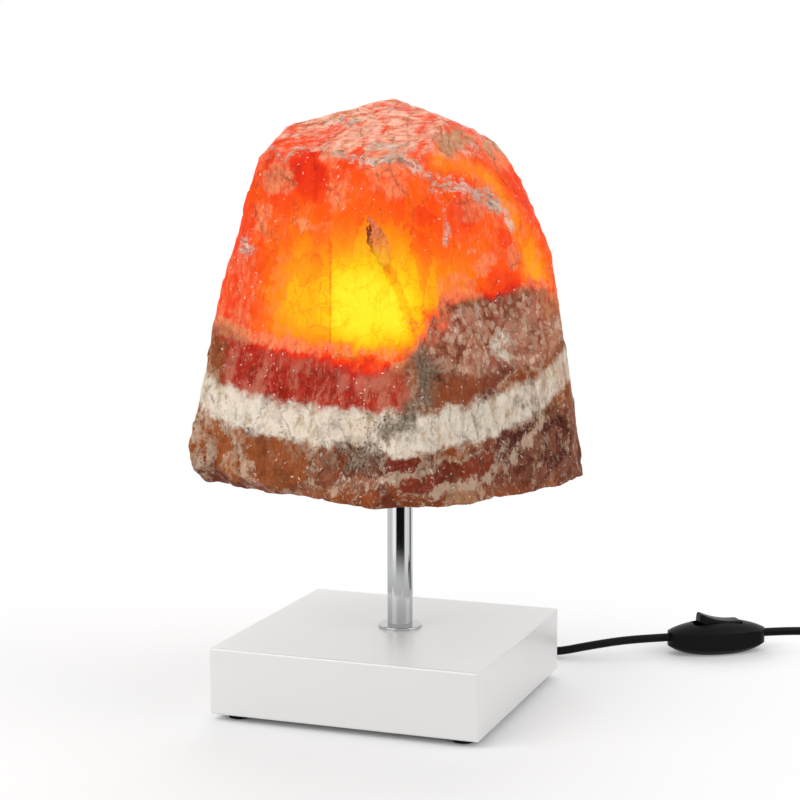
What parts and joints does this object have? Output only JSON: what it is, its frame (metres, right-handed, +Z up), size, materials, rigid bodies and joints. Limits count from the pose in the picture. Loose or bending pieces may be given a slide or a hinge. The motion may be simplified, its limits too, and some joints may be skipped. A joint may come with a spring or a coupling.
{
  "type": "aragonite stone table lamp",
  "caption": "Rough aragonite stone, drilled for a candle bulb that lights it from inside, on a chrome stem and a square white base, with a rocker switch on its lead.",
  "frame": {"origin": "on the floor under the middle of the base block", "axes": "+Z up, front towards -Y, +X to the right"},
  "size_m": [0.426, 0.2974, 0.3288],
  "materials": {
    "stone": "rough broken aragonite with crystal grains, lit warm from inside",
    "base_lacquer": "satin white lacquer on a fibreboard block",
    "foot_rubber": "matte black rubber",
    "stem_chrome": "polished",
    "plated_steel": "zinc plated",
    "seat_felt": "dark felt",
    "holder_plastic": "matte black",
    "holder_ceramic": "unglazed",
    "contact_brass": "bare",
    "wire_insulation": "matte",
    "bulb_glass": "clear",
    "bulb_cap_metal": "bright",
    "bulb_insulator": "black glass",
    "filament_metal": "drawn wire",
    "cord_black": "satin black sheath",
    "switch_black": "satin black",
    "rocker_black": "satin black",
    "plug_black": "matte black",
    "pin_nickel": "nickel plated"
  },
  "bodies": {
    "lamp": {"base_block": "base_lacquer", "foot_front_left": "foot_rubber", "foot_front_right": "foot_rubber", "foot_back_left": "foot_rubber", "foot_back_right": "foot_rubber", "flange": "stem_chrome", "stem_tube": "stem_chrome", "threaded_pipe": "plated_steel", "base_washer": "plated_steel", "base_nut": "plated_steel", "seat_plate": "stem_chrome", "seat_pad": "seat_felt", "plate_nut": "plated_steel", "holder_cap": "holder_plastic", "holder_grub_screw": "plated_steel", "holder_barrel": "holder_plastic", "holder_insert": "holder_ceramic", "holder_screw_shell": "contact_brass", "holder_centre_contact": "contact_brass", "holder_wires": "wire_insulation", "cord_inner": "cord_black", "cord_clamp": "holder_plastic", "cord_clamp_screws": "plated_steel", "cord_lead": "cord_black", "switch_lower_shell": "switch_black", "switch_upper_shell": "switch_black", "switch_pin": "plated_steel", "switch_terminals": "contact_brass", "switch_wires": "wire_insulation", "switch_screws": "plated_steel", "cord_run": "cord_black", "cord_coil": "cord_black", "coil_tie": "cord_black", "cord_tail": "cord_black", "plug_body": "plug_black", "plug_pins": "pin_nickel", "plug_pin_sleeves": "plug_black"},
    "stone": {"stone": "stone"},
    "bulb_foot": {"bulb_contact": "bulb_cap_metal"},
    "bulb": {"bulb_glass": "bulb_glass", "bulb_cap": "bulb_cap_metal", "bulb_insulator": "bulb_insulator", "bulb_stem": "bulb_glass", "bulb_leads": "filament_metal", "bulb_filament": "filament_metal"},
    "rocker": {"switch_rocker": "rocker_black", "contact_bridge": "contact_brass"}
  },
  "joints": [
    {"name": "stone_lift", "type": "slide", "parent": "lamp", "child": "stone", "axis": [0, 0, 1], "range_m": [0, 0.14]},
    {"name": "bulb_rise", "type": "slide", "parent": "lamp", "child": "bulb_foot", "axis": [0, 0, 1], "range_m": [0, 0.0113]},
    {"name": "bulb_turn", "type": "hinge", "parent": "bulb_foot", "child": "bulb", "pos_m": [0.004, 0.004, 0.155], "axis": [0, 0, 1], "range_deg": [0, 1440]},
    {"name": "rocker_tilt", "type": "hinge", "parent": "lamp", "child": "rocker", "pos_m": [0.151, 0.161, 0.013], "axis": [0.5299, -0.848, 0], "range_deg": [0, 22]}
  ],
  "couplings": [
    {"joint": "bulb_rise", "follows": "bulb_turn", "m_per_rad": 0.00044882}
  ]
}
